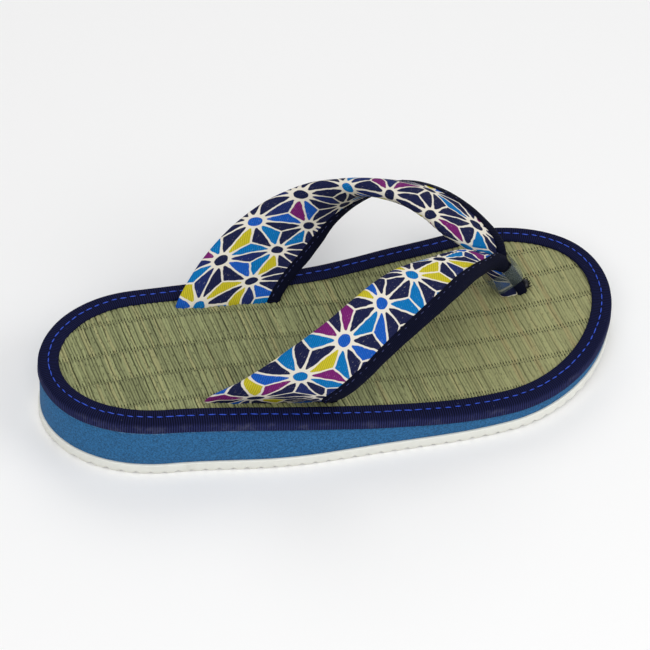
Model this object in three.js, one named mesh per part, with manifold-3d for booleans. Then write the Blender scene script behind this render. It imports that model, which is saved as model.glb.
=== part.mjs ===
// A zori sandal for the right foot: a rippled white outsole, a blue foam midsole that falls from the heel to the
// toe, a rush mat with a navy binding, and two padded straps that leave slits in the mat and join over the toe post.
// Millimetres, +Z up. The toe points along +X and the big toe's side is +Y.
import * as THREE from "three";
import { mergeVertices } from "three/addons/utils/BufferGeometryUtils.js";
import Module from "manifold-3d";

const wasm = await Module();
wasm.setup();

// Driving sizes. Lengths along the shoe are measured from the back of the heel.
const LENGTH = 250;
const HEEL_ROUND = 46; // length of the heel's half ellipse
const TOE_ROUND = 60; // length of the toe's half ellipse
const GAP = 0.3; // clearance between two pieces that touch
const END_ANGLE = 7; // degrees of the end arcs left out, which makes a narrow flat at the heel and the toe
const ARC_STEPS = 11;
const SIDE_STEPS = 15;

const OUTSOLE_THICK = 5;
const RIPPLE_PITCH = 5.6;
const RIPPLE_LAND = 2.4; // flat top of each ripple, which touches the floor
const RIPPLE_DEPTH = 1.3;
const SPRING_START = 160; // the sole begins to lift towards the toe here
const TOE_SPRING = 4;
const MIDSOLE_INSET = 0.7; // the foam stands back this far from the outsole's edge

const BINDING_HEIGHT = 5.4;
const BINDING_WIDTH = 8.75; // width of the navy tape on top of the mat
const BINDING_WALL = 1.1;
const MAT_INSET = BINDING_WALL + GAP;
const MAT_DROP = BINDING_WALL + GAP; // the mat lies this far below the top of the binding

const TAPE_WIDTH = 5; // navy tape along the toe edge of each strap
const STRAP_ROWS_SPLIT = 2; // sections made for each row of the strap tables
const POST_Y = 15; // the toe post stands this far towards the big toe from the shoe's middle line
const STRAP_END = -4.4; // the straps' ends in the mat, from the top of the binding
const ROLL_SHARE = 0.3; // share of a strap's width taken by the rounded roll at its heel edge
const SLIT_CLEARANCE = 0.35;
const TAPE_ROOM = 0.25; // the cover keeps this clear of both tapes where the straps fold together

const POST_LEAN = THREE.MathUtils.degToRad(34); // the toe post leans forward on its way down
const FILM_FOOT = { x: 206.6, up: 4.6 }; // the middle of the sleeve's lower end
const FILM_HEIGHT = 11;
const FILM_LENGTH = 14;
const FILM_DEPTH = 11.4;
const FILM_WALL = 0.5;
const FILM_CORNER = 0.42; // 1 would be an ellipse, and 0 a plain rectangle
const FILM_SIDES = 20;
const TUFT = { thick: 3, wide: 6, tall: 5 }; // the cut end of the tape at the foot of the post

const COLOURS = {
  outsole: { color: 0xecebe4, roughness: 0.75 },
  midsole: { color: 0x2d68a6, roughness: 0.9 },
  mat: { color: 0x8f9468, roughness: 0.7 },
  navy: { color: 0x14193f, roughness: 0.85 },
  print: { color: 0x4d5f9a, roughness: 0.9 },
  film: { color: 0xb9c0c6, roughness: 0.25 },
};

// The footprint: half width and middle of the sole at places along it. The two end ellipses round it off.
const FOOTPRINT = [
  { x: 0, half: 38.4, middle: -0.6 },
  { x: 46, half: 39, middle: -2.4 },
  { x: 90, half: 42.2, middle: -4.2 },
  { x: 130, half: 46, middle: -3.7 },
  { x: 165, half: 50.2, middle: -1.3 },
  { x: 190, half: 51.4, middle: 0.8 },
  { x: 225, half: 51.4, middle: 5.6 },
  { x: 250, half: 51.4, middle: 10.5 },
];

// The blue foam's thickness, a wedge that is thickest under the heel.
const FOAM = [
  { x: 0, thick: 18.6 },
  { x: 40, thick: 19.2 },
  { x: 75, thick: 16.8 },
  { x: 105, thick: 13.2 },
  { x: 135, thick: 9.6 },
  { x: 170, thick: 6.6 },
  { x: 210, thick: 5.2 },
  { x: 250, thick: 5 },
];

// Each strap from its slit in the mat, over the foot and down into the toe post. A row gives the middle of the padded
// heel edge and of the taped toe edge, with their heights over the binding's top, the padding's thickness, and the
// thickness of the taped edge.
const OUTER_STRAP = [
  { heelX: 64, heelY: -30, heelUp: STRAP_END, toeX: 116, toeY: -35.5, toeUp: STRAP_END, pad: 3, tape: 2.4 },
  { heelX: 64, heelY: -30, heelUp: -1, toeX: 116, toeY: -35.5, toeUp: -1, pad: 3, tape: 2.4 },
  { heelX: 80, heelY: -34, heelUp: 12, toeX: 113, toeY: -42, toeUp: 7, pad: 6, tape: 3 },
  { heelX: 97, heelY: -36, heelUp: 27, toeX: 116, toeY: -47, toeUp: 15, pad: 7.6, tape: 3.2 },
  { heelX: 112, heelY: -34, heelUp: 38, toeX: 124, toeY: -46.5, toeUp: 23, pad: 8, tape: 3.2 },
  { heelX: 125, heelY: -28, heelUp: 44, toeX: 135, toeY: -42, toeUp: 31, pad: 8, tape: 3.2 },
  { heelX: 138, heelY: -20, heelUp: 46.5, toeX: 150, toeY: -34, toeUp: 37, pad: 8, tape: 3.2 },
  { heelX: 150, heelY: -12, heelUp: 45.3, toeX: 166, toeY: -23, toeUp: 38.8, pad: 8, tape: 3.2 },
  { heelX: 163, heelY: -4.5, heelUp: 42, toeX: 181.5, toeY: -8.5, toeUp: 34.5, pad: 7.4, tape: 3.2 },
  { heelX: 173, heelY: 2, heelUp: 38, toeX: 193, toeY: 3, toeUp: 27, pad: 6.4, tape: 3.8 },
  { heelX: 181, heelY: 8, heelUp: 31.8, toeX: 200.5, toeY: 9.5, toeUp: 21.5, pad: 5.6, tape: 5 },
  { heelX: 188.5, heelY: 12.2, heelUp: 24, toeX: 204, toeY: 12.5, toeUp: 15.5, pad: 4.8, tape: 4.6 },
  { heelX: 195.5, heelY: 12.7, heelUp: 15.5, toeX: 207.4, toeY: 12.7, toeUp: 10, pad: 4.6, tape: 4.6 },
  { heelX: 201, heelY: 12.7, heelUp: 7.5, toeX: 210.2, toeY: 12.7, toeUp: 4.5, pad: 4.6, tape: 4.6 },
  { heelX: 205, heelY: 12.7, heelUp: -1, toeX: 212.5, toeY: 12.7, toeUp: -1, pad: 4.6, tape: 4.6 },
  { heelX: 205, heelY: 12.7, heelUp: STRAP_END, toeX: 212.5, toeY: 12.7, toeUp: STRAP_END, pad: 4.6, tape: 4.6 },
];
const INNER_STRAP = [
  { heelX: 63, heelY: 23.5, heelUp: STRAP_END, toeX: 110, toeY: 22.5, toeUp: STRAP_END, pad: 3, tape: 2.4 },
  { heelX: 63, heelY: 23.5, heelUp: -1, toeX: 110, toeY: 22.5, toeUp: -1, pad: 3, tape: 2.4 },
  { heelX: 77, heelY: 35.5, heelUp: 10, toeX: 116.5, toeY: 31, toeUp: 4, pad: 5, tape: 3 },
  { heelX: 95, heelY: 46.5, heelUp: 19, toeX: 124, toeY: 40, toeUp: 6.5, pad: 7, tape: 3.2 },
  { heelX: 112, heelY: 53, heelUp: 26, toeX: 132, toeY: 48, toeUp: 9, pad: 8, tape: 3.2 },
  { heelX: 127.5, heelY: 54.5, heelUp: 32, toeX: 140, toeY: 55, toeUp: 13, pad: 8, tape: 3.2 },
  { heelX: 139, heelY: 52, heelUp: 36, toeX: 150, toeY: 59, toeUp: 18.5, pad: 8, tape: 3.2 },
  { heelX: 148, heelY: 47, heelUp: 39.5, toeX: 161, toeY: 59, toeUp: 25, pad: 8, tape: 3.2 },
  { heelX: 157, heelY: 40, heelUp: 42, toeX: 172, toeY: 54, toeUp: 31, pad: 8, tape: 3.2 },
  { heelX: 164.5, heelY: 33, heelUp: 43, toeX: 182, toeY: 46, toeUp: 33.2, pad: 8, tape: 3.2 },
  { heelX: 171, heelY: 26.5, heelUp: 41, toeX: 190.5, toeY: 39, toeUp: 31, pad: 7.4, tape: 3.2 },
  { heelX: 176, heelY: 21.5, heelUp: 37, toeX: 198, toeY: 30, toeUp: 26.5, pad: 6.4, tape: 3.8 },
  { heelX: 181, heelY: 18.2, heelUp: 31.8, toeX: 202.5, toeY: 21.5, toeUp: 21.5, pad: 5.6, tape: 5 },
  { heelX: 188.5, heelY: 17.7, heelUp: 24, toeX: 204.2, toeY: 17.6, toeUp: 15.5, pad: 4.8, tape: 4.6 },
  { heelX: 195.5, heelY: 17.3, heelUp: 15.5, toeX: 207.4, toeY: 17.3, toeUp: 10, pad: 4.6, tape: 4.6 },
  { heelX: 201, heelY: 17.3, heelUp: 7.5, toeX: 210.2, toeY: 17.3, toeUp: 4.5, pad: 4.6, tape: 4.6 },
  { heelX: 205, heelY: 17.3, heelUp: -1, toeX: 212.5, toeY: 17.3, toeUp: -1, pad: 4.6, tape: 4.6 },
  { heelX: 205, heelY: 17.3, heelUp: STRAP_END, toeX: 212.5, toeY: 17.3, toeUp: STRAP_END, pad: 4.6, tape: 4.6 },
];

// A column of a table at x, on a smooth curve through its rows.
function column(table, name, x) {
  const last = table.length - 1;
  let i = 0;
  while (i < last - 1 && x > table[i + 1].x) i++;
  const slope = (j) => {
    const a = table[Math.max(0, j - 1)];
    const b = table[Math.min(last, j + 1)];
    return (b[name] - a[name]) / (b.x - a.x);
  };
  const a = table[i];
  const b = table[i + 1];
  const span = b.x - a.x;
  const t = Math.min(1, Math.max(0, (x - a.x) / span));
  const rise = a[name] * (1 + 2 * t) * (1 - t) ** 2 + b[name] * t * t * (3 - 2 * t);
  return rise + span * (slope(i) * t * (1 - t) ** 2 - slope(i + 1) * t * t * (1 - t));
}

// Heights of the layers at x.
const soleBottom = (x) => TOE_SPRING * Math.max(0, (x - SPRING_START) / (LENGTH - SPRING_START)) ** 2;
const outsoleTop = (x) => soleBottom(x) + OUTSOLE_THICK;
const foamTop = (x) => outsoleTop(x) + column(FOAM, "thick", x);
const bindingTop = (x) => foamTop(x) + BINDING_HEIGHT;

// Half the shoe's width at x, for an outline that lies inset inside the true one.
function halfWidth(x, inset) {
  const fromHeel = (x - inset) / (HEEL_ROUND - inset);
  const fromToe = (LENGTH - inset - x) / (TOE_ROUND - inset);
  const end = Math.min(fromHeel, fromToe, 1);
  return Math.sqrt(1 - (1 - end) ** 2) * (column(FOOTPRINT, "half", x) - inset);
}

// Places along the shoe, close together round the two ends, with the outline's two sides at each.
function stations(inset) {
  const arc = (i) => 1 - Math.cos(THREE.MathUtils.degToRad(END_ANGLE + ((90 - END_ANGLE) * i) / ARC_STEPS));
  const xs = [];
  for (let i = 0; i < ARC_STEPS; i++) xs.push(inset + (HEEL_ROUND - inset) * arc(i));
  const sideLength = LENGTH - HEEL_ROUND - TOE_ROUND;
  for (let i = 0; i <= SIDE_STEPS; i++) xs.push(HEEL_ROUND + (sideLength * i) / SIDE_STEPS);
  for (let i = ARC_STEPS - 1; i >= 0; i--) xs.push(LENGTH - inset - (TOE_ROUND - inset) * arc(i));
  return xs.map((x) => {
    const middle = column(FOOTPRINT, "middle", x);
    const half = halfWidth(x, inset);
    return { x, outer: middle - half, inner: middle + half };
  });
}

// A geometry from rings of points, each joined to the next. An open run is closed by a flat cap at each end.
function sweep(rings, closed) {
  const n = rings[0].length;
  const points = rings.flat();
  const faces = [];
  const runs = closed ? rings.length : rings.length - 1;
  for (let i = 0; i < runs; i++) {
    const a = i * n;
    const b = ((i + 1) % rings.length) * n;
    for (let j = 0; j < n; j++) {
      const k = (j + 1) % n;
      faces.push(a + j, a + k, b + k, a + j, b + k, b + j);
    }
  }
  if (!closed) {
    for (const end of [0, rings.length - 1]) {
      const centre = rings[end].reduce((sum, p) => sum.add(p), new THREE.Vector3()).divideScalar(n);
      const c = points.push(centre) - 1;
      for (let j = 0; j < n; j++) {
        const k = (j + 1) % n;
        if (end === 0) faces.push(c, end * n + k, end * n + j);
        else faces.push(c, end * n + j, end * n + k);
      }
    }
  }
  const geometry = new THREE.BufferGeometry().setFromPoints(points);
  geometry.setIndex(faces);
  return geometry;
}

// A manifold solid of a closed geometry, turned so that its faces point outwards.
function solid(geometry) {
  const bare = geometry.clone();
  bare.deleteAttribute("normal");
  bare.deleteAttribute("uv");
  const merged = mergeVertices(bare, 1e-4);
  const triVerts = new Uint32Array(merged.index.array);
  const vertProperties = merged.attributes.position.array;
  const made = new wasm.Manifold(new wasm.Mesh({ numProp: 3, vertProperties, triVerts }));
  if (made.volume() > 0) return made;
  for (let i = 0; i < triVerts.length; i += 3) triVerts.subarray(i, i + 2).reverse();
  return new wasm.Manifold(new wasm.Mesh({ numProp: 3, vertProperties, triVerts }));
}

// A named mesh of a solid.
function piece(name, body, finish) {
  const { vertProperties, triVerts } = body.getMesh();
  const geometry = new THREE.BufferGeometry();
  geometry.setAttribute("position", new THREE.BufferAttribute(vertProperties, 3));
  geometry.setIndex(new THREE.BufferAttribute(triVerts, 1));
  geometry.computeVertexNormals();
  const mesh = new THREE.Mesh(geometry, new THREE.MeshStandardMaterial({ metalness: 0, ...COLOURS[finish] }));
  mesh.name = name;
  return mesh;
}

// A layer of the sole: the footprint between two heights that follow x.
function layer(inset, bottom, top) {
  const rings = stations(inset).map(({ x, outer, inner }) => [
    new THREE.Vector3(x, outer, bottom(x)),
    new THREE.Vector3(x, inner, bottom(x)),
    new THREE.Vector3(x, inner, top(x)),
    new THREE.Vector3(x, outer, top(x)),
  ]);
  return solid(sweep(rings, false));
}

// The outsole, with ripples cut across its underside by one long comb.
function outsole() {
  const slab = layer(0, (x) => soleBottom(x) - RIPPLE_DEPTH, outsoleTop);
  const below = -3 * RIPPLE_DEPTH;
  const comb = new THREE.Shape();
  comb.moveTo(-RIPPLE_PITCH, below);
  const groove = RIPPLE_PITCH - RIPPLE_LAND;
  for (let x = -RIPPLE_PITCH; x < LENGTH + RIPPLE_PITCH; x += RIPPLE_PITCH) {
    comb.lineTo(x, soleBottom(x));
    comb.lineTo(x + RIPPLE_LAND, soleBottom(x + RIPPLE_LAND));
    comb.lineTo(x + RIPPLE_LAND + groove / 2, soleBottom(x + RIPPLE_LAND) + RIPPLE_DEPTH);
  }
  comb.lineTo(LENGTH + 2 * RIPPLE_PITCH, below);
  const wide = 2 * LENGTH;
  const cutter = new THREE.ExtrudeGeometry(comb, { depth: wide, bevelEnabled: false });
  cutter.rotateX(Math.PI / 2);
  cutter.translate(0, wide / 2, 0);
  return slab.subtract(solid(cutter));
}

// The navy tape folded over the edge of the mat, swept round the footprint.
function matBinding() {
  const fold = [
    { inset: 0, up: -BINDING_HEIGHT + GAP },
    { inset: 0, up: -1.5 },
    { inset: 0.4, up: -0.5 },
    { inset: 1.3, up: 0 },
    { inset: BINDING_WIDTH - 0.7, up: 0 },
    { inset: BINDING_WIDTH, up: -0.5 },
    { inset: BINDING_WIDTH, up: -BINDING_WALL },
    { inset: BINDING_WALL, up: -BINDING_WALL },
    { inset: BINDING_WALL, up: -BINDING_HEIGHT + GAP },
  ];
  const lines = fold.map(({ inset, up }) => {
    const along = stations(inset);
    const outer = along.map((s) => new THREE.Vector3(s.x, s.outer, bindingTop(s.x) + up));
    const inner = along.map((s) => new THREE.Vector3(s.x, s.inner, bindingTop(s.x) + up));
    return outer.concat(inner.reverse());
  });
  const rings = lines[0].map((_, i) => lines.map((line) => line[i]));
  return solid(sweep(rings, true));
}

// The sections of a strap, as the two edge points, the directions across and out of it, and its thicknesses.
function strapFrames(table) {
  const rail = (edge) =>
    new THREE.CatmullRomCurve3(
      table.map((row) => {
        const x = row[edge + "X"];
        return new THREE.Vector3(x, row[edge + "Y"], bindingTop(x) + row[edge + "Up"]);
      }),
      false,
      "centripetal",
    );
  const heel = rail("heel");
  const toe = rail("toe");
  const last = table.length - 1;
  const frames = [];
  for (let i = 0; i <= last * STRAP_ROWS_SPLIT; i++) {
    const at = i / STRAP_ROWS_SPLIT;
    const inMat = at < 1 || at > last - 1;
    if (inMat && !Number.isInteger(at)) continue;
    const t = at / last;
    const upright = at <= 1 ? 1 : at >= last - 1 ? -1 : 0;
    const travel = upright
      ? new THREE.Vector3(0, 0, upright)
      : heel.getTangent(t).add(toe.getTangent(t)).normalize();
    const heelPoint = heel.getPoint(t);
    const toePoint = toe.getPoint(t);
    const across = toePoint.clone().sub(heelPoint).normalize();
    const out = across.clone().cross(travel).normalize();
    const row = table[Math.floor(at)];
    const next = table[Math.min(last, Math.floor(at) + 1)];
    const mix = (name) => THREE.MathUtils.lerp(row[name], next[name], at - Math.floor(at));
    frames.push({ heelPoint, toePoint, across, out, pad: mix("pad"), tape: mix("tape") });
  }
  return frames;
}

// A strap's covered part: a padded roll at the heel edge that thins towards the tape. Its section has a point every
// few steps from the heel edge over the outer face, and back along the inner face.
function strapCover(frames, grow = 0) {
  const steps = [0, 0.07, 0.2, 0.4, 0.65, 0.85, 1];
  const fullness = (s, flat) => {
    const rise = Math.min(1, s / ROLL_SHARE);
    const fall = Math.max(0, (s - ROLL_SHARE) / (1 - ROLL_SHARE));
    const thin = (1 - Math.cos(Math.PI * fall)) / 2;
    return Math.sqrt(1 - (1 - rise) ** 2) * (1 - thin * (1 - flat));
  };
  const rings = frames.map(({ heelPoint, toePoint, across, out, pad, tape }) => {
    const start = -pad / 2 - grow;
    const end = heelPoint.distanceTo(toePoint) + tape / 2 - TAPE_WIDTH - GAP + grow;
    const at = (s, side) =>
      heelPoint
        .clone()
        .addScaledVector(across, start + (end - start) * s)
        .addScaledVector(out, side * (grow + (fullness(s, tape / pad) * pad) / 2));
    const outer = steps.slice(grow ? 0 : 1).map((s) => at(s, 1));
    const inner = steps.slice(grow ? 0 : 1).reverse().map((s) => at(s, -1));
    return grow ? [...outer, ...inner] : [at(0, 1), ...outer, ...inner];
  });
  return solid(sweep(rings, false));
}

// A strap's navy tape, along its toe edge.
function strapTape(frames, grow = 0) {
  const section = [
    { s: 0, side: 1 },
    { s: 0.75, side: 1 },
    { s: 1, side: 0.5 },
    { s: 1, side: -0.5 },
    { s: 0.75, side: -1 },
    { s: 0, side: -1 },
  ];
  const rings = frames.map(({ toePoint, across, out, tape }) => {
    const start = tape / 2 - TAPE_WIDTH - grow;
    const width = TAPE_WIDTH + 2 * grow;
    return section.map(({ s, side }) =>
      toePoint
        .clone()
        .addScaledVector(across, start + width * s)
        .addScaledVector(out, side * (tape / 2 + grow)),
    );
  });
  return solid(sweep(rings, false));
}

// The opening in the mat round one end of a strap, from its upright part.
function slit(frames) {
  const [low, high] = frames;
  const reach = (frame, up) => ({
    ...frame,
    heelPoint: frame.heelPoint.clone().setZ(up),
    toePoint: frame.toePoint.clone().setZ(up),
  });
  const deep = reach(low, 0);
  const open = reach(high, 2 * BINDING_HEIGHT + high.heelPoint.z);
  return strapCover([deep, open], SLIT_CLEARANCE).add(strapTape([deep, open], SLIT_CLEARANCE));
}

// The clear film sleeve round the toe post, which leans forward on its way down. Its ends are cut square to it.
function filmSleeve(room) {
  const down = new THREE.Vector3(Math.sin(POST_LEAN), 0, -Math.cos(POST_LEAN));
  const across = new THREE.Vector3(Math.cos(POST_LEAN), 0, Math.sin(POST_LEAN));
  const side = new THREE.Vector3(0, 1, 0);
  const foot = new THREE.Vector3(FILM_FOOT.x, POST_Y, bindingTop(FILM_FOOT.x) + FILM_FOOT.up);
  const ring = (grow, along) =>
    Array.from({ length: FILM_SIDES }, (_, j) => {
      const turn = (2 * Math.PI * j) / FILM_SIDES;
      const round = (v) => Math.sign(v) * Math.abs(v) ** FILM_CORNER;
      return foot
        .clone()
        .addScaledVector(down, along)
        .addScaledVector(across, (FILM_LENGTH / 2 + grow) * round(Math.cos(turn)))
        .addScaledVector(side, (FILM_DEPTH / 2 + grow) * round(Math.sin(turn)));
    });
  const outside = solid(sweep([ring(0, -FILM_HEIGHT), ring(0, 0)], false));
  const inside = solid(sweep([ring(-FILM_WALL, -2 * FILM_HEIGHT), ring(-FILM_WALL, FILM_HEIGHT)], false));
  return outside.subtract(inside).subtract(room);
}

// The cut end of the tape that stands out at the foot of the toe post.
function tapeEnd(foot) {
  const lump = new THREE.IcosahedronGeometry(1, 2);
  lump.scale(TUFT.thick / 2, TUFT.wide / 2, TUFT.tall / 2);
  const x = foot.toePoint.x + foot.tape / 2 + GAP + TUFT.thick / 2;
  lump.translate(x, POST_Y - 1, bindingTop(x) - MAT_DROP + GAP + TUFT.tall / 2);
  return solid(lump);
}

const outerFrames = strapFrames(OUTER_STRAP);
const innerFrames = strapFrames(INNER_STRAP);
const slits = [outerFrames, innerFrames].flatMap((frames) => [
  slit(frames.slice(0, 2)),
  slit(frames.slice(-2).reverse()),
]);
const mat = slits.reduce(
  (body, opening) => body.subtract(opening),
  layer(
    MAT_INSET,
    (x) => foamTop(x) + GAP,
    (x) => bindingTop(x) - MAT_DROP,
  ),
);
const foot = outerFrames[outerFrames.length - 2];
const covers = strapCover(outerFrames).add(strapCover(innerFrames));
const tapes = strapTape(outerFrames).add(strapTape(innerFrames));
const tapeRoom = strapTape(outerFrames, TAPE_ROOM).add(strapTape(innerFrames, TAPE_ROOM));
const coverRoom = strapCover(outerFrames, TAPE_ROOM).add(strapCover(innerFrames, TAPE_ROOM));

const shoe = new THREE.Group();
shoe.add(
  piece("outsole", outsole(), "outsole"),
  piece("midsole", layer(MIDSOLE_INSET, (x) => outsoleTop(x) + GAP, foamTop), "midsole"),
  piece("rush_mat", mat, "mat"),
  piece("mat_binding", matBinding(), "navy"),
  piece("straps", covers.subtract(tapeRoom), "print"),
  piece("strap_tape", tapes, "navy"),
  piece("film_sleeve", filmSleeve(tapeRoom.add(coverRoom)), "film"),
  piece("tape_end", tapeEnd(foot), "navy"),
);

// The origin is on the floor, under the middle of the shoe's box.
const box = new THREE.Box3().setFromObject(shoe);
const middle = box.getCenter(new THREE.Vector3());
shoe.position.set(-middle.x, -middle.y, -box.min.z);

export default shoe;
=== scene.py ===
import math
import random

import bmesh
import bpy
from bpy.props import FloatProperty, FloatVectorProperty, IntProperty, PointerProperty
from mathutils import Euler, Matrix, Vector, noise


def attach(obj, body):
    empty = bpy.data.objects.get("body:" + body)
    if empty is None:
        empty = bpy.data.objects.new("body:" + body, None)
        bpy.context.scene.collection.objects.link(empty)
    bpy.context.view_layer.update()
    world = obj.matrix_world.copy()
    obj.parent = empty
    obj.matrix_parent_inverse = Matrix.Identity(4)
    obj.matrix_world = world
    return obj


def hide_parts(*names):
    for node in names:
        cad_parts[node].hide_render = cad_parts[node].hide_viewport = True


bl_info = {
    "name": "Zori sandal",
    "version": (1, 0, 0),
    "blender": (4, 5, 0),
    "location": "3D View > Sidebar > Sandal",
    "description": "Dresses the right shoe of a pair of zori with a rush mat and printed cotton straps",
    "category": "Add Mesh",
}

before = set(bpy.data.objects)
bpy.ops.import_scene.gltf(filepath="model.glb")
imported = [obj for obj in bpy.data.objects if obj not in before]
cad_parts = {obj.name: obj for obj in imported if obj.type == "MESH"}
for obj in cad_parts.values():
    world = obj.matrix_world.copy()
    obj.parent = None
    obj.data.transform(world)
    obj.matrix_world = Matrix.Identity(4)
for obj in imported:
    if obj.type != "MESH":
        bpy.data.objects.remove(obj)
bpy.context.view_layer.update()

# Sizes in this file are millimetres, measured from the back of the heel, its middle line and the floor.
MM = 0.001
TOUCHING = 0.002 * MM
ORIGIN = Vector((124.948, 4.778, 0))
UPWARDS = Vector((0, 0, 1))

LENGTH = 250
HEEL_ROUND = 46
TOE_ROUND = 60
OUTSOLE_THICK = 5
RIPPLE_PITCH = 5.6
RIPPLE_LAND = 2.4
RIPPLE_DEPTH = 1.3
SPRING_START = 160
TOE_SPRING = 4
END_MARGIN = 0.5
FOAM_INSET = 0.7
FLARE = 2.4
FLARE_MIDDLE = 95
FLARE_SPREAD = 34
BINDING_HEIGHT = 5.4
BINDING_WIDTH = 8.75
BINDING_SIDE = 4.8
STITCH_INSET = 4.5
MAT_INSET = 1.4
MAT_DROP = 1.4
MAT_THICK = 3.6
SLIT_DIP = 0.7
EDGE_DIP = 0.9
REED_LEAN = 0.09
WARP_ROWS = (-41, -27, -12, 3, 20, 34, 49)
ROW_WIDTH = 15
PINCH_WIDTH = 0.9
STAR_ROW = 0.35
ROLLED_EDGE = 0.3
TAPE_WIDTH = 6
TAPE_RIBS = 0.6
STRAP_STITCH_THICK = 0.45
SEAM_HALF = 0.04
POST_Y = 15
POST_LEAN = math.radians(34)
FILM_FOOT = (206.6, 4.6)
FILM_LENGTH = 11
FILM_HALF_SIZE = (7, 5.5)
FILM_WALL = 0.25
FRAY_PLACE = (214.6, 14)

# The footprint, as place along the shoe, half width and middle.
FOOTPRINT = (
    (0, 38.4, -0.6), (46, 39, -2.4), (90, 42.2, -4.2), (130, 46, -3.7),
    (165, 50.2, -1.3), (190, 51.4, 0.8), (225, 51.4, 5.6), (250, 51.4, 10.5),
)
# The foam wedge, as place along the shoe and thickness.
FOAM = ((0, 18.6), (40, 19.2), (75, 16.8), (105, 13.2), (135, 9.6), (170, 6.6), (210, 5.2), (250, 5))


def post_rows(y):
    """The rows of a strap's table that run down the toe post, at one side of it."""
    edges = ((195.5, 15.5, 207.4, 10), (201, 7.5, 210.2, 4.5), (205, -1, 212.5, -1), (205, -4.4, 212.5, -4.4))
    return tuple((x, y, up, toe_x, y, toe_up, 4.6, 4.6) for x, up, toe_x, toe_up in edges)


# The straps' edges: x, y and height over the binding, first of the padded heel edge and then of the taped toe
# edge. Then come the thickness of the padding and of the tape's edge.
OUTER_STRAP = (
    (64, -30, -4.4, 116, -35.5, -4.4, 3, 2.4),
    (64, -30, -1, 116, -35.5, -1, 3, 2.4),
    (80, -34, 12, 113, -42, 7, 6, 3),
    (97, -36, 27, 116, -47, 15, 7.6, 3.2),
    (112, -34, 38, 124, -46.5, 23, 8, 3.2),
    (125, -28, 44, 135, -42, 31, 8, 3.2),
    (138, -20, 46.5, 150, -34, 37, 8, 3.2),
    (150, -12, 45.3, 166, -23, 38.8, 8, 3.2),
    (163, -4.5, 42, 181.5, -8.5, 34.5, 7.4, 3.2),
    (173, 2, 38, 193, 3, 27, 6.4, 3.8),
    (181, 8, 31.8, 200.5, 9.5, 21.5, 5.6, 5),
    (188.5, 12.2, 24, 204, 12.5, 15.5, 4.8, 4.6),
    *post_rows(12.7),
)
INNER_STRAP = (
    (65, 25, -4.4, 107.5, 24.3, -4.4, 3, 2.4),
    (65, 25, -1, 107.5, 24.3, -1, 3, 2.4),
    (78, 36, 10, 115, 31.7, 4, 5, 3),
    (95, 46.5, 19, 124, 40, 6.5, 7, 3.2),
    (112, 53, 26, 132, 48, 9, 8, 3.2),
    (127.5, 54.5, 32, 140, 55, 13, 8, 3.2),
    (139, 52, 36, 150, 59, 18.5, 8, 3.2),
    (148, 47, 39.5, 161, 59, 25, 8, 3.2),
    (157, 40, 42, 172, 54, 31, 8, 3.2),
    (164.5, 33, 43, 182, 46, 33.2, 8, 3.2),
    (171, 26.5, 41, 190.5, 39, 31, 7.4, 3.2),
    (176, 21.5, 37, 198, 30, 26.5, 6.4, 3.8),
    (181, 18.2, 31.8, 202.5, 21.5, 21.5, 5.6, 5),
    (188.5, 17.7, 24, 204.2, 17.6, 15.5, 4.8, 4.6),
    *post_rows(17.3),
)
# Rows of those tables: where the outer strap's tape rolls over the toe post, and where the stitches end.
ROLL_ROW = 9
STITCHES_END = 10
SECTIONS_PER_ROW = 9


def blend(a, b, t):
    """The value a share t of the way from a to b."""
    return a + (b - a) * t


def step_up(low, high, value):
    """A smooth step from 0 at low to 1 at high."""
    t = min(1, max(0, (value - low) / (high - low)))
    return t * t * (3 - 2 * t)


def column(table, k, x):
    """A column of a table at x, on a smooth curve through its rows."""
    last = len(table) - 1
    i = max(j for j in range(last) if j == 0 or x > table[j][0])

    def slope(j):
        a, b = table[max(0, j - 1)], table[min(last, j + 1)]
        return (b[k] - a[k]) / (b[0] - a[0])

    a, b = table[i], table[i + 1]
    span = b[0] - a[0]
    t = min(1, max(0, (x - a[0]) / span))
    rise = a[k] * (1 + 2 * t) * (1 - t) ** 2 + b[k] * t * t * (3 - 2 * t)
    return rise + span * (slope(i) * t * (1 - t) ** 2 - slope(i + 1) * t * t * (1 - t))


def sole_bottom(x):
    """Height of the outsole's lands at x."""
    return TOE_SPRING * max(0, (x - SPRING_START) / (LENGTH - SPRING_START)) ** 2


def outsole_top(x):
    """Height of the seam between the outsole and the foam at x."""
    return sole_bottom(x) + OUTSOLE_THICK


def foam_top(x):
    """Height of the foam's upper face at x."""
    return outsole_top(x) + column(FOAM, 1, x)


def binding_top(x):
    """Height of the binding's upper face at x."""
    return foam_top(x) + BINDING_HEIGHT


def half_width(x, inset):
    """Half the shoe's width at x, for an outline that lies inset inside the true one."""
    from_heel = (x - inset) / (HEEL_ROUND - inset)
    from_toe = (LENGTH - inset - x) / (TOE_ROUND - inset)
    end = max(0, min(from_heel, from_toe, 1))
    return math.sqrt(1 - (1 - end) ** 2) * (column(FOOTPRINT, 1, x) - inset)


def sides(x, inset):
    """The outline's outer and inner side at x."""
    middle = column(FOOTPRINT, 2, x)
    half = half_width(x, inset)
    return middle - half, middle + half


def flare(x):
    """How far the sole's foot stands out on its outer side, between the heel and the ball of the foot."""
    return FLARE * math.exp(-(((x - FLARE_MIDDLE) / FLARE_SPREAD) ** 2))


def stations(inset, step, first=2.5):
    """Places along the shoe, close together round its two ends."""
    turns = [math.radians(first + (90 - first) * i / 30) for i in range(30)]
    heel = [inset + (HEEL_ROUND - inset) * (1 - math.cos(a)) for a in turns]
    toe = [LENGTH - inset - (TOE_ROUND - inset) * (1 - math.cos(a)) for a in reversed(turns)]
    side = LENGTH - HEEL_ROUND - TOE_ROUND
    count = math.ceil(side / step)
    return heel + [HEEL_ROUND + side * i / count for i in range(count + 1)] + toe


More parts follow.
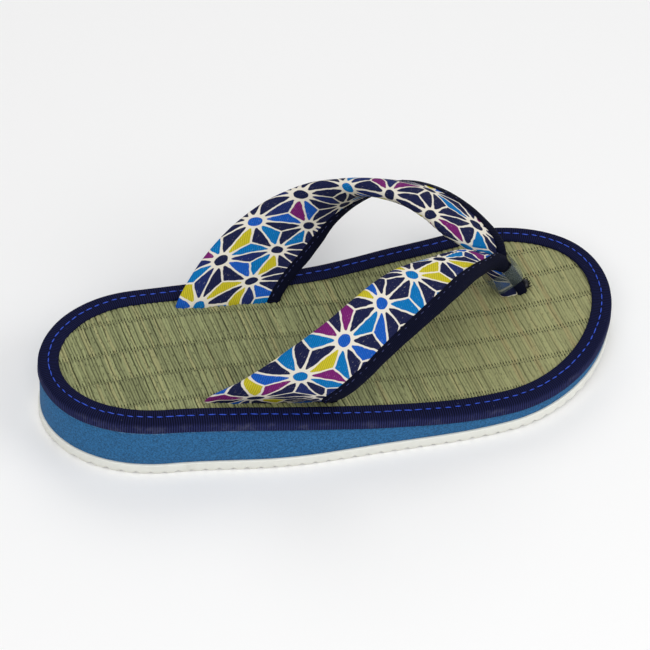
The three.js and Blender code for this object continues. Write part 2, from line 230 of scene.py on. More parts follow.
def outline(inset, count):
    """The footprint's edge as count points at equal distances, with the way inwards at each."""
    xs = stations(inset, 4, 0.5)
    loop = [Vector((x, sides(x, inset)[0])) for x in xs]
    loop += [Vector((x, sides(x, inset)[1])) for x in reversed(xs)]
    runs = [(b - a).length for a, b in zip(loop, loop[1:] + loop[:1])]
    total = sum(runs)
    points = []
    i, before = 0, 0.0
    for n in range(count):
        at = total * n / count
        while before + runs[i] < at:
            before += runs[i]
            i += 1
        points.append(loop[i].lerp(loop[(i + 1) % len(loop)], (at - before) / runs[i]))
    along = [(points[(n + 1) % count] - points[n - 1]).normalized() for n in range(count)]
    return points, [Vector((-a.y, a.x)) for a in along], total


def place(point):
    """A point in the shoe's millimetres, in the frame's metres."""
    return (Vector(point) - ORIGIN) * MM


def rail(points, at):
    """A point on a smooth curve through the points, at a place counted in points."""
    last = len(points) - 1
    i = min(int(at), last - 1)
    w = at - i
    p1, p2 = points[i], points[i + 1]
    p0 = points[i - 1] if i > 0 else 2 * p1 - p2
    p3 = points[i + 2] if i + 2 <= last else 2 * p2 - p1
    d0, d1, d2 = (max((b - a).length, 1e-4) ** 0.5 for a, b in ((p0, p1), (p1, p2), (p2, p3)))
    t1 = ((p1 - p0) / d0 - (p2 - p0) / (d0 + d1) + (p2 - p1) / d1) * d1
    t2 = ((p2 - p1) / d1 - (p3 - p1) / (d1 + d2) + (p3 - p2) / d2) * d1
    c2 = -3 * p1 + 3 * p2 - 2 * t1 - t2
    c3 = 2 * p1 - 2 * p2 + t1 + t2
    return p1 + w * t1 + w * w * c2 + w ** 3 * c3


class Section:
    """One cross section of a strap."""

    def __init__(self, rows, at):
        heel, toe = ([Vector((r[k], r[k + 1], binding_top(r[k]) + r[k + 2])) for r in rows] for k in (0, 3))
        last = len(rows) - 1
        step = 0.02
        before, after = max(0, at - step), min(last, at + step)
        self.at = at
        self.heel = rail(heel, at)
        self.toe = rail(toe, at)
        travel = rail(heel, after) - rail(heel, before) + rail(toe, after) - rail(toe, before)
        self.width = (self.toe - self.heel).length
        self.across = (self.toe - self.heel).normalized()
        self.out = self.across.cross(travel).normalized()
        i = min(int(at), last - 1)
        self.pad, self.tape = (blend(rows[i][k], rows[i + 1][k], at - i) for k in (6, 7))


def sections(rows, per_row):
    """Sections all along a strap, with the length of the print's middle row of stars up to each."""
    made = [Section(rows, i / per_row) for i in range((len(rows) - 1) * per_row + 1)]
    made[0].along = 0.0
    for a, b in zip(made, made[1:]):
        b.along = a.along + (b.heel.lerp(b.toe, STAR_ROW) - a.heel.lerp(a.toe, STAR_ROW)).length
    return made


def press(point, side):
    """Keeps a strap on its own side of the seam over the toe post, where the two are pressed together."""
    edge = POST_Y + side * SEAM_HALF
    y = max(point.y, edge) if side > 0 else min(point.y, edge)
    return Vector((point.x, y, point.z))


def new_mesh():
    """An empty bmesh with a map for the cloth's own coordinates."""
    bm = bmesh.new()
    bm.loops.layers.uv.new("cloth")
    return bm


def skin(columns, rows, shape):
    """A closed bmesh, made of a grid. Each corner goes to shape(column, row), which gives its point and its
    place on the cloth. Edges that touch are joined, and open ends are closed."""
    bm = new_mesh()
    bmesh.ops.create_grid(bm, x_segments=columns, y_segments=rows, size=0.5)
    cloth = bm.loops.layers.uv["cloth"]
    laid = {}
    for v in bm.verts:
        point, laid[v] = shape(round((v.co.x + 0.5) * columns), round((v.co.y + 0.5) * rows))
        v.co = place(point)
    for face in bm.faces:
        for loop in face.loops:
            loop[cloth].uv = laid[loop.vert]
    bmesh.ops.remove_doubles(bm, verts=bm.verts, dist=TOUCHING)
    bmesh.ops.holes_fill(bm, edges=[e for e in bm.edges if e.is_boundary], sides=0)
    bmesh.ops.recalc_face_normals(bm, faces=bm.faces)
    return bm


def stitch(bm, middle, along, up, length, thick):
    """Adds one stitch, a short rounded bar of thread."""
    side = up.cross(along).normalized()
    turn = Matrix((along, side, up)).transposed().to_4x4()
    size = Matrix.Diagonal((length / 2 * MM, thick / 2 * MM, thick * 0.42 * MM, 1))
    matrix = Matrix.Translation(place(middle)) @ turn @ size
    bmesh.ops.create_uvsphere(bm, u_segments=7, v_segments=5, radius=1, matrix=matrix)


def add_object(name, data):
    """Puts a new object with its data in the scene."""
    made = bpy.data.objects.new(name, data)
    bpy.context.scene.collection.objects.link(made)
    return made


def add_mesh(name, bm, material):
    """Makes an object of a bmesh."""
    mesh = bpy.data.meshes.new(name)
    bm.to_mesh(mesh)
    bm.free()
    mesh.materials.append(material)
    return add_object(name, mesh)


def add_piece(bm, name, material, nodes, sharp):
    """Makes a finished piece of a bmesh, which rides on the shoe and stands for its solids."""
    piece = add_mesh(name, bm, material)
    piece.data.shade_smooth()
    piece.data.set_sharp_from_angle(angle=math.radians(sharp))
    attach(piece, "root")
    if nodes:
        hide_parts(*nodes)
    return piece


class Value:
    """A shader value that Python sums can use. Each sum adds a Math node."""

    def __init__(self, paint, socket):
        self.paint = paint
        self.socket = socket

    def __add__(self, other):
        return self.paint.math("ADD", self, other)

    __radd__ = __add__

    def __sub__(self, other):
        return self.paint.math("SUBTRACT", self, other)

    def __rsub__(self, other):
        return self.paint.math("SUBTRACT", other, self)

    def __mul__(self, other):
        return self.paint.math("MULTIPLY", self, other)

    __rmul__ = __mul__

    def __truediv__(self, other):
        return self.paint.math("DIVIDE", self, other)

    def __pow__(self, other):
        return self.paint.math("POWER", self, other)


class Paint:
    """A material being made: its nodes, and the shader that they feed."""

    def __init__(self, name, **fixed):
        self.material = bpy.data.materials.new(name)
        self.material.use_nodes = True
        self.nodes = self.material.node_tree.nodes
        self.links = self.material.node_tree.links
        self.shader = self.nodes["Principled BSDF"]
        for key, value in fixed.items():
            self.shader.inputs[key.replace("_", " ")].default_value = value

    def node(self, kind, settings=None, inputs=None, output=0):
        """Adds a node, sets it up, feeds it, and gives one of its outputs."""
        made = self.nodes.new("ShaderNode" + kind)
        for key, value in (settings or {}).items():
            if key == "stops":
                self.set_stops(made.color_ramp, value)
            elif key == "interpolation":
                made.color_ramp.interpolation = value
            else:
                setattr(made, key, value)
        for key, value in (inputs or {}).items():
            if isinstance(value, Value):
                self.links.new(value.socket, made.inputs[key])
            else:
                made.inputs[key].default_value = value
        return Value(self, made.outputs[output])

    @staticmethod
    def set_stops(ramp, stops):
        """Puts a colour ramp's stops in place."""
        while len(ramp.elements) < len(stops):
            ramp.elements.new(1)
        for element, (at, colour) in zip(ramp.elements, stops):
            element.position = at
            element.color = (*colour, 1)

    def math(self, operation, *values):
        return self.node("Math", {"operation": operation}, dict(enumerate(values)))

    def vector(self, operation, *values):
        return self.node("VectorMath", {"operation": operation}, dict(enumerate(values)))

    def mix(self, share, a, b, how="MIX"):
        """A colour between a and b."""
        wide = [c if isinstance(c, Value) else (*c, 1) for c in (a, b)]
        settings = {"data_type": "RGBA", "blend_type": how}
        return self.node("Mix", settings, {0: share, 6: wide[0], 7: wide[1]}, 2)

    def split(self, vector):
        """A vector's three numbers."""
        made = self.nodes.new("ShaderNodeSeparateXYZ")
        self.links.new(vector.socket, made.inputs[0])
        return [Value(self, out) for out in made.outputs]

    def join(self, x, y, z=0.0):
        return self.node("CombineXYZ", inputs={0: x, 1: y, 2: z})

    def body(self):
        """The piece's own coordinates, in millimetres."""
        return self.vector("MULTIPLY", self.node("TexCoord", output=3), (1000, 1000, 1000))

    def cloth(self):
        """The place on the cloth, in millimetres across it and along it."""
        return self.node("UVMap", {"uv_map": "cloth"})

    def grain(self, vector, scale, detail=2.0, rough=0.5):
        """Noise from 0 to 1, with scale in features to the millimetre."""
        inputs = {"Vector": vector, "Scale": scale, "Detail": detail, "Roughness": rough}
        return self.node("TexNoise", inputs=inputs)

    def chance(self, x, y, z):
        """A number from 0 to 1 that is the same all over one cell."""
        return self.node("TexWhiteNoise", inputs={"Vector": self.join(x, y, z)})

    def between(self, value, low, high):
        """How far value is from low to high, smoothly from 0 to 1."""
        inputs = {"Value": value, "From Min": low, "From Max": high}
        return self.node("MapRange", {"interpolation_type": "SMOOTHSTEP"}, inputs)

    def ramp(self, value, stops, interpolation="LINEAR"):
        return self.node("ValToRGB", {"stops": stops, "interpolation": interpolation}, {0: value})

    def relief(self, height, distance, strength):
        """Feeds the shader's normal with a height from 0 to 1 that stands distance millimetres high."""
        inputs = {"Height": height, "Distance": distance * MM, "Strength": strength}
        self.feed(Normal=self.node("Bump", inputs=inputs))

    def feed(self, **values):
        for key, value in values.items():
            self.links.new(value.socket, self.shader.inputs[key.replace("_", " ")])


def shown(*colour):
    """A colour as it looks on a screen, from 0 to 255, as the shader's own numbers."""
    shares = [c / 255 for c in colour]
    return tuple(((c + 0.055) / 1.055) ** 2.4 if c > 10 / 255 else c / 12.92 for c in shares)


# The marks of wear, with the painted shade of the mat's hollows and the tape's smears of wear and painted
# sheen.
FOAM_SPECK = shown(120, 160, 200)
GLUE = shown(150, 185, 210)
DUST = shown(196, 192, 178)
PORE = shown(120, 116, 104)
BROWN_REED = shown(165, 128, 88)
# Painted shade for the mat's slits, grooves and knots.
REED_SHADOW = shown(42, 44, 20)
# Smears on the tape: partly wear, partly painted sheen.
TAPE_WEAR_AND_SHEEN = shown(104, 106, 128)
LINT = shown(120, 122, 140)
FILM = shown(92, 104, 106)
# The print's cloth colours, each after the share of the cells or dots that it takes up.
DYES = (
    (0.5, shown(27, 32, 68)), (0.12, shown(32, 44, 98)), (0.13, shown(10, 112, 178)),
    (0.08, shown(26, 88, 182)), (0.09, shown(118, 34, 108)), (0.08, shown(194, 182, 42)),
)
DOTS = ((0.34, shown(26, 32, 66)), (0.36, shown(12, 112, 180)), (0.3, shown(26, 88, 182)))
CREAM = shown(234, 228, 214)


def scaled(colour, share):
    """A colour made darker or lighter."""
    return tuple(c * share for c in colour)


def foam_paint(colour):
    """Blue foam rubber with fine specks, and a pale trace of glue under the binding at the heel."""
    paint = Paint("blue foam", Roughness=0.85, Specular_IOR_Level=0.3)
    at = paint.body()
    speck = paint.grain(at, 1.4, 3, 0.75)
    broad = paint.grain(at, 0.05)
    light = paint.between(speck, 0.36, 0.64)
    tone = paint.mix(light * 0.8 + broad * 0.2, scaled(colour, 0.52), scaled(colour, 1.4))
    pale = paint.between(speck, 0.66, 0.74) * 0.35
    tone = paint.mix(pale, tone, FOAM_SPECK)
    depth = paint.node("Attribute", {"attribute_name": "below_top"}, output=2)
    heel = 1 - paint.between(paint.split(at)[0], -70, -20)
    smear = paint.between(paint.grain(at, 0.35, 4, 0.65) - depth * 0.16, 0.3, 0.62) * heel
    tone = paint.mix(smear * 0.3, tone, GLUE)
    paint.feed(Base_Color=tone, Roughness=0.78 + speck * 0.2)
    paint.relief(speck, 0.12, 0.7)
    return paint.material


def outsole_paint(colour):
    """Off-white foam rubber with small pores, dusty along its lower edge."""
    paint = Paint("white outsole", Roughness=0.7, Specular_IOR_Level=0.35)
    at = paint.body()
    pores = paint.grain(at, 1.1, 3, 0.65)
    dirt = paint.between(paint.grain(at, 0.12, 5, 0.7), 0.52, 0.8)
    low = 1 - paint.between(paint.split(at)[2], 0, 2.6)
    tone = paint.mix(dirt * 0.25 + low * 0.3, colour, DUST)
    tone = paint.mix(paint.between(pores, 0.7, 0.76) * 0.4, tone, PORE)
    paint.feed(Base_Color=tone, Roughness=0.6 + pores * 0.3)
    paint.relief(pores, 0.15, 0.6)
    return paint.material


def rush_hollow_shade(paint, at, slit, row, share, tick, toe):
    """How much painted shade the weave's hollows get, from 0 to 1: slits, grooves between strands, knots at
    the warps.
    """
    off = paint.math("ABSOLUTE", at - slit)
    own = paint.chance(slit, row, 3)
    from_end = paint.math("ABSOLUTE", share - paint.math("GREATER_THAN", own, 0.5))
    reach = paint.chance(slit, row, 4) * 0.8 + 0.2
    seen = 1 - paint.between(from_end - reach, 0.0, 0.25)
    # Painted shade in the slits between the reeds.
    dark = (1 - paint.between(off, 0.05, 0.16)) * (seen * 0.65 + 0.3) * (own * 0.4 + 0.55)

    fine = at * 2
    gap = paint.math("FLOOR", fine + 0.5)
    near = 1 - paint.between(paint.math("ABSOLUTE", fine - gap), 0.06, 0.3)
    depth = paint.chance(gap, row, 5)
    groove = paint.math("MAXIMUM", near * (depth * 0.6 + 0.12), tick)

    end = paint.math("MINIMUM", share, 1 - share)
    warp = (1 - paint.between(end, 0.0, 0.04)) * 0.4
    knot = (1 - paint.between(end, 0.06, 0.14)) * paint.between(end, 0.0, 0.035)
    # Painted light: the hollows are painted lighter towards the toe.
    hollow = paint.math("MAXIMUM", dark, paint.math("MAXIMUM", groove, warp)) * (1 - toe * 0.4)
    return paint.math("MAXIMUM", hollow, knot * near * (depth * 0.5 + 0.75))


def rush_paint(green, straw):
    """Woven rush: reeds with painted shade in the slits between them and at the row of knots at each warp,
    and a toe painted paler as painted light.
    """
    paint = Paint("woven rush", Roughness=0.6, Specular_IOR_Level=0.25)
    x, y, z = paint.split(paint.body())
    reed, place_in_rows = paint.split(paint.cloth())[:2]
    row = paint.math("FLOOR", place_in_rows)
    share = place_in_rows - row
    sway = paint.grain(paint.join(x * 0.2, y * 0.06, row), 1.0) - 0.5
    at = reed + paint.math("MODULO", row, 2.0) * 0.5 + share * (1 - share) * 0.3 + sway * 0.4
    slit = paint.math("FLOOR", at + 0.5)
    tick = paint.between(paint.grain(paint.join(x * 1.9, y * 0.45, row), 1.0, 2, 0.6), 0.57, 0.69) * 0.75
    # Painted light: a mask that grows towards the toe, where the mat is painted paler.
    toe = paint.between(x, 0, 80)
    hollow = rush_hollow_shade(paint, at, slit, row, share, tick, toe)

    strand = paint.math("FLOOR", at * 2)
    fibre = paint.grain(paint.join(x * 3.4, y * 0.16, z * 0.3), 1.0, 4, 0.6)
    patch = paint.grain(paint.join(x * 0.05, y * 0.03, z), 1.0, 3)
    tint = paint.chance(strand, row, 6)
    tone = paint.mix(tint * 0.5 + fibre * 0.5, scaled(green, 0.9), scaled(green, 2.0))
    dry = paint.between(paint.chance(strand, row, 7) + patch * 0.3, 0.9, 1.15)
    tone = paint.mix(dry * 0.6, tone, straw)
    brown = paint.between(paint.chance(slit, 11, 2), 0.955, 0.985)
    tone = paint.mix(brown * 0.3, tone, BROWN_REED)
    # Painted light: the toe is mixed towards the straw colour.
    tone = paint.mix(toe * 0.36, tone, straw)
    # Painted shade: the hollows are darkened towards the reeds' shadow colour.
    tone = paint.mix(hollow, tone, REED_SHADOW)
    paint.feed(Base_Color=tone, Roughness=0.5 + fibre * 0.28)
    paint.relief(fibre * 0.3 - hollow * 0.7, 0.3, 0.9)
    return paint.material


def tape_paint(name, colour, pitch, side):
    """Navy tape with fine ribs across it, painted darker in their grooves and lighter on their crests as
    painted shade and light. A side of it that faces outwards is painted paler as its lit side, with smears of
    wear and painted sheen and lint on it.
    """
    paint = Paint(name, Roughness=0.8, Specular_IOR_Level=0.06)
    across, along = paint.split(paint.cloth())[:2]
    at = paint.body()
    wave = (paint.math("SINE", along * (math.tau / pitch)) * 0.5 + 0.5) ** 1.6
    thread = paint.math("SINE", across * (math.tau / 0.45)) * 0.5 + 0.5
    dust = paint.grain(at, 0.5, 5, 0.7)
    wear = paint.grain(at, 0.035, 3)
    # The tape's outer side face, where painted light makes it paler.
    outside = 1 - paint.between(across + dust * 2, side, side + 2.4)
    # The ribs' wave gives painted shade in their grooves and painted light on their crests, with random wear
    # and dust.
    share = wave * 0.7 + wear * 0.15 + paint.between(dust, 0.5, 0.8) * 0.15
    top = paint.mix(share, scaled(colour, 0.1), scaled(colour, 1.5))
    # Painted light: a paler copy of the tape for its lit side.
    lit_side = paint.mix(share, scaled(colour, 0.3), tuple(c * 2.8 + 0.008 for c in colour))
    tone = paint.mix(outside, top, lit_side)
    # Pale smears on the outer side: partly wear, partly painted sheen.
    smear = paint.between(paint.grain(at, 0.09, 4, 0.7), 0.5, 0.75) * outside
    tone = paint.mix(smear * 0.3, tone, TAPE_WEAR_AND_SHEEN)
    lint = paint.between(paint.grain(at, 1.3), 0.72, 0.78)
    tone = paint.mix(lint * 0.4, tone, LINT)
    paint.feed(Base_Color=tone, Roughness=0.7 + wave * 0.2)
    paint.relief(wave * 0.8 + thread * 0.2, 0.2, 0.9)
    return paint.material


def thread_paint(name, colour):
    """Sewing thread with a soft twist."""
    paint = Paint(name, Roughness=0.45, Specular_IOR_Level=0.5)
    twist = paint.grain(paint.body(), 2.6)
    tone = paint.mix(paint.between(twist, 0.3, 0.7), scaled(colour, 0.6), scaled(colour, 1.25))
    paint.feed(Base_Color=tone)
    paint.relief(twist, 0.1, 0.5)
    return paint.material


def film_paint():
    """Thin clear film with a gloss and soft creases."""
    paint = Paint("clear film", Base_Color=(*FILM, 1), Roughness=0.28, Specular_IOR_Level=0.5)
    crease = paint.grain(paint.body(), 0.2, 1)
    paint.relief(crease, 0.15, 0.3)
    paint.feed(Alpha=paint.between(crease, 0.3, 0.7) * 0.15 + 0.25)
    return paint.material


def constant_stops(table):
    """Colour ramp stops that give each colour its share."""
    shares = [share for share, colour in table]
    return [(sum(shares[:i]), colour) for i, (share, colour) in enumerate(table)]


def hemp_leaf(paint, place_on_cloth, pitch):
    """The hemp-leaf lattice, a grid of triangles that are each cut in three. It gives the distances to the
    nearest star and line, three numbers of the cell's own and two of the star's own."""
    across, along = paint.split(place_on_cloth)[:2]
    row_height = pitch * math.sqrt(3) / 2
    j = across / row_height
    i = along / pitch - j * 0.5
    cell_i = paint.math("FLOOR", i)
    cell_j = paint.math("FLOOR", j)
    s = i - cell_i
    t = j - cell_j
    far = paint.math("GREATER_THAN", s + t, 1.0)
    near = 1 - far
    w0 = paint.math("ABSOLUTE", 1 - s - t)
    w1 = s * near + (1 - t) * far
    w2 = t * near + (1 - s) * far
    low = paint.math("MINIMUM", w0, paint.math("MINIMUM", w1, w2))
    high = paint.math("MAXIMUM", w0, paint.math("MAXIMUM", w1, w2))
    middle = 1 - low - high
    to_star = paint.math("SQRT", middle * middle + low * low + middle * low) * pitch
    to_line = paint.math("SMOOTH_MIN", low * row_height, (middle - low) * (pitch / 2), 1.5)
    lowest1, lowest2, highest1, highest2 = (
        paint.math("COMPARE", w, end, 1e-5) for w, end in ((w1, low), (w2, low), (w1, high), (w2, high)))
    cell = (cell_i + far * 0.5, cell_j, lowest1 + lowest2 * 2)
    star_i = cell_i + highest1 * near + (1 - highest2) * far
    star_j = cell_j + highest2 * near + (1 - highest1) * far
    return to_star, to_line, cell, (star_i, star_j)


def print_paint(name, pitch, shift, turn, seed, dot_seed):
    """Cotton printed with the hemp-leaf lattice in cream lines, with a dye for each cell and each dot."""
    paint = Paint(name, Roughness=0.85, Specular_IOR_Level=0.1)
    cloth = paint.cloth()
    moved = paint.node("Mapping", inputs={"Vector": cloth, "Location": (-shift[0], -shift[1], 0)})
    moved = paint.node("Mapping", inputs={"Vector": moved, "Rotation": (0, 0, turn)})
    wobble = paint.node("TexNoise", inputs={"Vector": cloth, "Scale": 0.3}, output=1)
    wobble = paint.vector("SUBTRACT", wobble, (0.5, 0.5, 0.5))
    moved = paint.vector("ADD", moved, paint.vector("MULTIPLY", wobble, (0.9, 0.9, 0)))
    to_star, to_line, cell, star = hemp_leaf(paint, moved, pitch)

    half_line = (1 - paint.between(to_star, 2.5, 7.5)) * 0.4 + 0.28
    ink = paint.between(to_line - half_line, 0.0, 0.2) * paint.between(to_star, 3.8, 4.05)
    dot = 1 - paint.between(to_star, 2.4, 2.6)
    own = paint.chance(cell[0], cell[1] + seed, cell[2])
    dye = paint.ramp(own, constant_stops(DYES), "CONSTANT")
    dot_dye = paint.ramp(paint.chance(*star, dot_seed), constant_stops(DOTS), "CONSTANT")

    across, along = paint.split(cloth)[:2]
    weave = paint.math("SINE", (across + along * 0.7) * (math.tau / 0.9)) * 0.5 + 0.5
    slub = paint.grain(paint.join(across * 2.2, along * 0.5), 1.0, 3, 0.6)
    shade = paint.ramp(slub * 0.5 + weave * 0.5, [(0.2, (0.68, 0.68, 0.68)), (0.8, (1.26, 1.26, 1.26))])
    dyed = paint.mix(0.8, paint.mix(dot, dye, dot_dye), shade, "MULTIPLY")
    dyed = paint.mix(paint.between(slub, 0.62, 0.7) * 0.2, dyed, CREAM)
    cream = paint.mix(slub, scaled(CREAM, 0.9), CREAM)
    tone = paint.mix(paint.math("MAXIMUM", ink, dot), cream, dyed)
    paint.feed(Base_Color=tone, Roughness=0.8 + slub * 0.15)
    paint.relief(weave * 0.4 + slub * 0.6, 0.14, 0.8)
    return paint.material


def size_property(name, description, default):
    """A length that the sidebar shows."""
    return FloatProperty(name=name, description=description, unit="LENGTH", default=default)


class SandalSizes(bpy.types.PropertyGroup):
    """Sizes of the shoe's details."""

    reed: size_property("Reed width", "Width of one bundle of rush", 0.0025)
    reed_relief: size_property("Reed relief", "Height of the reeds over their hollows", 0.0006)
    stitch_pitch: size_property("Stitch pitch", "Length of one stitch and the gap after it", 0.0043)
    stitch_length: size_property("Stitch length", "Length of the thread that shows", 0.004)
    stitch_thick: size_property("Thread width", "Width of the sewing thread", 0.00056)
    rib_pitch: size_property("Rib pitch", "Width of one rib of the binding", 0.001)
    star_pitch: size_property("Star pitch", "Distance between two stars of the print", 0.0209)
    fibres: IntProperty(name="Frayed threads", description="Threads at the tape's cut end", default=46)


def colour_property(name, description, default):
    """A colour that the sidebar shows."""
    return FloatVectorProperty(name=name, description=description, subtype="COLOR", size=3, min=0, max=1,
                               default=default)


class SandalColours(bpy.types.PropertyGroup):
    """Colours of the shoe's pieces."""

    outsole: colour_property("Outsole", "Off-white rubber", shown(238, 238, 230))
    foam: colour_property("Foam", "Blue foam wedge", shown(40, 100, 148))
    rush: colour_property("Rush", "Green of the woven rush", shown(122, 126, 88))
    straw: colour_property("Straw", "Dry reeds in the mat", shown(174, 170, 120))
    binding: colour_property("Binding", "Ribbed tape round the mat", shown(26, 30, 68))
    strap_tape: colour_property("Strap tape", "Tape along the straps' toe edge", shown(16, 20, 46))
    thread: colour_property("Thread", "Stitches round the mat", shown(32, 76, 205))
    strap_thread: colour_property("Strap thread", "Stitches along the straps", shown(22, 32, 86))
    fray: colour_property("Fray", "Cut tape at the foot of the toe post", shown(14, 15, 26))
    floor: colour_property("Floor", "Plain floor and backdrop", shown(250, 250, 250))


def ripple(x):
    """Depth of the groove at x in the outsole's underside."""
    at = x % RIPPLE_PITCH - RIPPLE_LAND
    groove = RIPPLE_PITCH - RIPPLE_LAND
    if at <= 0:
        return 0
    return RIPPLE_DEPTH * (1 - abs(2 * at / groove - 1)) ** 0.8


class MakeOutsole(bpy.types.Operator):
    """Makes the white outsole with its ripples"""

    bl_idname = "sandal.make_outsole"
    bl_label = "Outsole"

    def execute(self, context):
        xs = set(stations(0, 4))
        low, high = END_MARGIN, LENGTH - END_MARGIN
        for i in range(int(LENGTH / RIPPLE_PITCH) + 1):
            start = i * RIPPLE_PITCH
            xs.update(min(high, max(low, start + RIPPLE_LAND * part)) for part in (0, 0.3, 1))
            groove = [start + RIPPLE_LAND + (RIPPLE_PITCH - RIPPLE_LAND) * part for part in (0.25, 0.5, 0.75)]
            xs.update(x for x in groove if low < x < high)
        xs = sorted(xs)
        # The section, as share of the half width, inset, share of the height and height.
        edge = [(-1, 0.5, 0, 0), (-1, 0.12, 0, 0.2), (-1, 0, 0, 0.7), (-1, 0, 1, -0.4), (-1, 0.3, 1, 0)]
        base = [(share, 0.5, 0, 0) for share in (0.96, 0.6, 0, -0.6, -0.96)]
        section = [*base, *edge, (0, 0, 1, 0), *((1, *rest) for side, *rest in reversed(edge)), base[0]]

        def shape(i, k):
            x = xs[i]
            share, inset, tall, rise = section[k]
            outer, inner = sides(x, min(inset, half_width(x, 0) * 0.5))
            outer -= flare(x)
            y = (outer + inner) / 2 + share * (inner - outer) / 2
            cut = ripple(x)
            z = blend(sole_bottom(x) + cut, outsole_top(x), tall) + rise
            if not tall:
                z -= cut * 0.15 if rise else 0
                z += 0.07 * noise.noise(Vector((x * 0.4, y * 0.4, 1)))
            return (x, y, max(z, 0)), (x, y)

        bm = skin(len(xs) - 1, len(section) - 1, shape)
        paint = outsole_paint(context.scene.sandal_colours.outsole)
        add_piece(bm, "rippled_outsole", paint, ["outsole"], 35)
        return {"FINISHED"}


class MakeFoam(bpy.types.Operator):
    """Makes the blue foam wedge"""

    bl_idname = "sandal.make_foam"
    bl_label = "Foam wedge"

    def execute(self, context):
        xs = stations(FOAM_INSET, 3)
        # The section, laid out as the outsole's.
        corner = ((1.0, 0), (0.35, 0.35), (0, 1.0))
        section = [(-1, a, 0, b) for a, b in corner] + [(-1, 0, part, 0) for part in (0.3, 0.5, 0.7)]
        section += [(-1, a, 1, -b) for a, b in reversed(corner)]
        section += [(1, *rest) for side, *rest in reversed(section)]
        section.append(section[0])

        def shape(i, k):
            x = xs[i]
            share, inset, tall, rise = section[k]
            outer, inner = sides(x, FOAM_INSET)
            outer -= flare(x) * (1 - tall)
            inset = min(inset * 0.6, half_width(x, FOAM_INSET) * 0.5)
            y = (outer + inner) / 2 + share * ((inner - outer) / 2 - inset)
            low, high = outsole_top(x) + 0.05, foam_top(x) + 0.15
            z = blend(low, high, tall) + rise * 0.5
            if abs(share) == 1 and 0 < tall < 1:
                y += share * 0.22 * noise.noise(Vector((x * 0.03, 3 * share, tall)))
            return (x, y, z), (x, high - z)

        bm = skin(len(xs) - 1, len(section) - 1, shape)
        below = bm.verts.layers.float.new("below_top")
        for v in bm.verts:
            v[below] = foam_top(v.co.x / MM + ORIGIN.x) - v.co.z / MM
        paint = foam_paint(context.scene.sandal_colours.foam)
        add_piece(bm, "foam_wedge", paint, ["midsole"], 60)
        return {"FINISHED"}


# The slits in the mat, from end to end.
SLITS = tuple((Vector(rows[1][0:2]), Vector(rows[1][3:5])) for rows in (OUTER_STRAP, INNER_STRAP))
POST_SLIT = (Vector((203.4, POST_Y)), Vector((214, POST_Y)))


def from_line(point, line):
    """How far a point of the mat is from a line on it."""
    a, b = line
    run = b - a
    t = min(1, max(0, (point - a).dot(run) / run.length_squared))
    return (point - a - run * t).length


def weave(x, y, reed):
    """How high the woven mat is at a place on it, from 0 to 1, and its place counted in reeds and in rows."""
    row = sum(1 for w in WARP_ROWS if y > w)
    low = WARP_ROWS[row - 1] if row else WARP_ROWS[0] - ROW_WIDTH
    high = WARP_ROWS[row] if row < len(WARP_ROWS) else low + ROW_WIDTH
    share = (y - low) / (high - low)
    leaning = (x + REED_LEAN * y) / reed
    at = leaning + 0.5 * (row % 2) + 0.3 * share * (1 - share)
    round_reed = abs(math.sin(math.pi * at)) ** 0.6
    pinch = math.exp(-((min(share, 1 - share) * ROW_WIDTH / PINCH_WIDTH) ** 2))
    own = noise.noise(Vector((math.floor(at) * 1.7, row * 2.3, 5)))
    return round_reed * (1 - 0.8 * pinch) + 0.5 * own * (1 - pinch), (leaning, row + share)


class MakeMat(bpy.types.Operator):
    """Makes the woven rush mat, reed by reed"""

    bl_idname = "sandal.make_mat"
    bl_label = "Rush mat"

    def execute(self, context):
        sizes = context.scene.sandal_sizes
        ends = stations(MAT_INSET, 4, 4)
        columns, rows = 620, 104

        def shape(i, k):
            x = blend(ends[0], ends[-1], i / columns)
            outer, inner = sides(x, MAT_INSET)
            y = blend(outer, inner, k / rows)
            height, reed_place = weave(x, y, sizes.reed / MM)
            lip = min(from_line(Vector((x, y)), line) for line in (*SLITS, POST_SLIT))
            edge = min(y - outer, inner - y) + MAT_INSET
            top = binding_top(x) - MAT_DROP
            z = top + height * sizes.reed_relief / MM - SLIT_DIP * (1 - step_up(2.2, 5.5, lip))
            z -= EDGE_DIP * (1 - step_up(BINDING_WIDTH - 3.5, BINDING_WIDTH + 1.5, edge))
            if i in (0, columns) or k in (0, rows):
                z = top - MAT_THICK
            return (x, y, z), reed_place

        bm = skin(columns, rows, shape)
        colours = context.scene.sandal_colours
        paint = rush_paint(colours.rush, colours.straw)
        add_piece(bm, "woven_rush_mat", paint, ["rush_mat"], 180)
        return {"FINISHED"}


